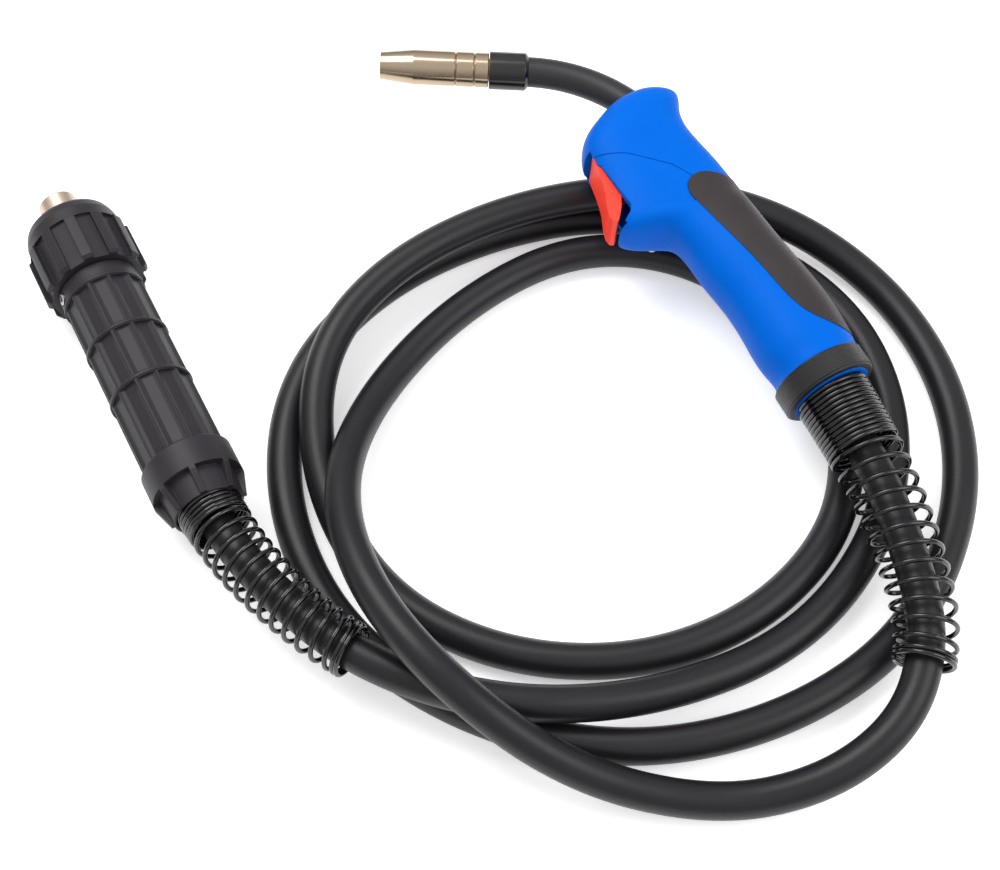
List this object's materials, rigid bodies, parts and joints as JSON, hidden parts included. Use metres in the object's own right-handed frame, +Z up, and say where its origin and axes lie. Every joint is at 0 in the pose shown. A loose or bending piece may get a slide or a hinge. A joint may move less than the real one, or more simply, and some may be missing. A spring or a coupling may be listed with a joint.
{
  "type": "mig welding torch",
  "caption": "MIG welding torch with a swan neck, a pistol handle with a trigger, a loosely looped cable and a central plug.",
  "frame": {"origin": "floor point under the middle of the torch and plug, measured without the cable", "axes": "+Y along the plug towards its contact barrel, +Z up from the floor the torch lies on"},
  "size_m": [0.3921, 0.4494, 0.0733],
  "materials": {
    "nozzle_chrome": "polished plated copper",
    "copper": "bare copper",
    "brass": "machined brass",
    "spring_steel": "plain steel",
    "black_plastic": "black moulded plastic",
    "dark_rubber": "matt rubber sleeve",
    "blue_plastic": "satin moulded nylon",
    "grey_rubber": "soft grip rubber",
    "red_plastic": "satin moulded plastic",
    "black_rubber": "moulded rubber",
    "cable_rubber": "matt rubber sheath",
    "black_lacquer": "gloss black lacquered spring wire",
    "dark_plastic": "dark grey moulded plastic",
    "nickel": "satin nickel-plated brass",
    "orange_rubber": "silicone ring"
  },
  "bodies": {
    "torch": {"contact_tip": "copper", "gas_diffuser": "brass", "nozzle_ring": "spring_steel", "insulator_ring": "black_plastic", "neck_tube": "copper", "neck_sleeve": "dark_rubber", "neck_union": "brass", "handle_shell_left": "blue_plastic", "handle_shell_right": "blue_plastic", "grip_insert_left": "grey_rubber", "grip_insert_right": "grey_rubber", "trigger_pin": "spring_steel", "trigger_spring": "spring_steel", "microswitch": "black_plastic", "shell_screws": "spring_steel", "rear_collar": "black_rubber", "cable_support": "black_plastic", "handle_core": "copper", "control_leads": "grey_rubber", "welding_cable": "cable_rubber", "torch_spring": "black_lacquer", "plug_spring": "black_lacquer", "plug_housing": "dark_plastic", "end_cap": "dark_plastic", "plug_body": "nickel", "plug_insulator": "black_plastic", "barrel_ring": "orange_rubber", "contact_spring_upper": "spring_steel", "contact_spring_lower": "spring_steel", "housing_screw": "spring_steel", "plug_core": "copper"},
    "trigger": {"trigger": "red_plastic"},
    "switch_plunger": {"switch_plunger": "red_plastic"},
    "gas_nozzle": {"gas_nozzle": "nozzle_chrome"},
    "locking_nut": {"locking_nut": "dark_plastic"},
    "contact_pin_upper": {"contact_pin_upper": "brass"},
    "contact_pin_lower": {"contact_pin_lower": "brass"}
  },
  "joints": [
    {"name": "trigger_hinge", "type": "hinge", "parent": "torch", "child": "trigger", "pos_m": [0.10601, 0.08286, 0.0543], "axis": [-0.0001, -0.0785, 0.9969], "range_deg": [0, 5.5], "stiffness_Nm_per_rad": 0.5, "springref_deg": -2.86, "deforming": ["trigger_spring"]},
    {"name": "switch_plunger_slide", "type": "slide", "parent": "torch", "child": "switch_plunger", "axis": [1, -0.0017, 0], "range_m": [0, 0.0019]},
    {"name": "nozzle_pull", "type": "slide", "parent": "torch", "child": "gas_nozzle", "axis": [-0.8738, 0.4848, 0.038], "range_m": [0, 0.025]},
    {"name": "nut_spin", "type": "hinge", "parent": "torch", "child": "locking_nut", "pos_m": [-0.14118, 0.17351, 0.0265], "axis": [0, 1, 0], "continuous": true},
    {"name": "contact_upper_slide", "type": "slide", "parent": "torch", "child": "contact_pin_upper", "axis": [0, -1, 0], "range_m": [0, 0.003], "stiffness_N_per_m": 400, "springref_m": -0.001, "deforming": ["contact_spring_upper"]},
    {"name": "contact_lower_slide", "type": "slide", "parent": "torch", "child": "contact_pin_lower", "axis": [0, -1, 0], "range_m": [0, 0.003], "stiffness_N_per_m": 400, "springref_m": -0.001, "deforming": ["contact_spring_lower"]}
  ],
  "couplings": [
    {"joint": "switch_plunger_slide", "follows": "trigger_hinge", "m_per_rad": 0.019}
  ]
}
